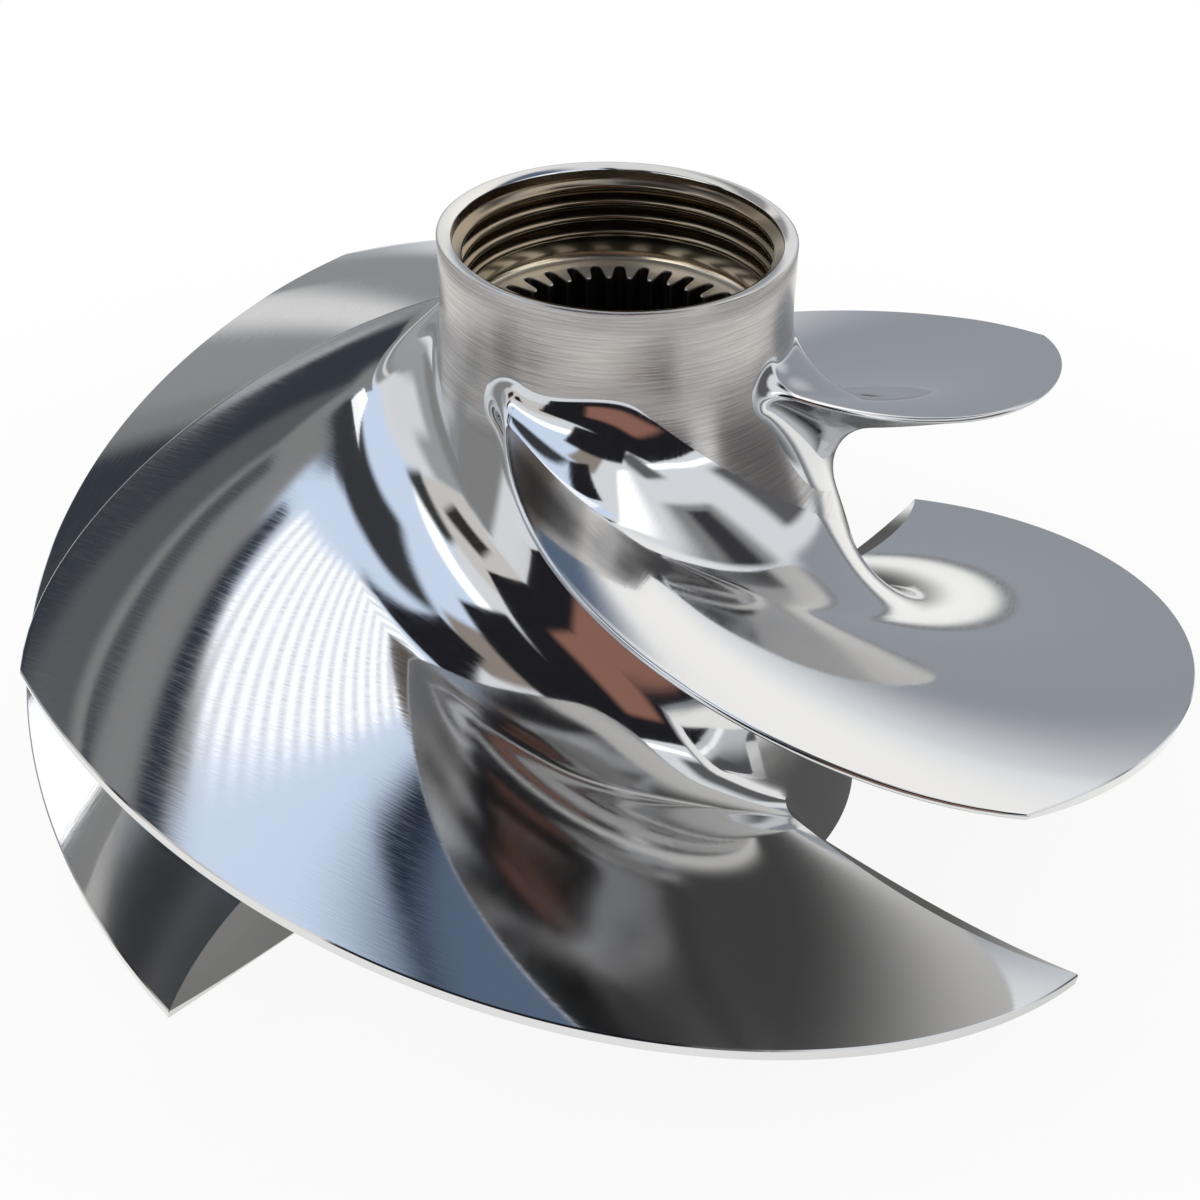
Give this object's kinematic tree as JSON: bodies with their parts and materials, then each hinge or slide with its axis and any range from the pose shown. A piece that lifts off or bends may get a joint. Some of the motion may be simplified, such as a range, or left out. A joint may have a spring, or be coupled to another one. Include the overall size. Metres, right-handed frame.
{
  "type": "pump impeller",
  "caption": "One-piece axial pump impeller: swept helical blades round a flared hub with a threaded mouth and a splined socket.",
  "frame": {"origin": "centre of the hub's outlet face, on the axis of rotation", "axes": "+Z along the axis of rotation, from the outlet face towards the threaded inlet end; the blades descend anticlockwise seen from +Z; the first blade's leading tip stands at 303.5 degrees from +X"},
  "size_m": [0.159, 0.159, 0.0831],
  "materials": {
    "steel": "polished stainless steel, brushed on the socket"
  },
  "bodies": {
    "root": {"impeller": "steel"}
  },
  "joints": []
}
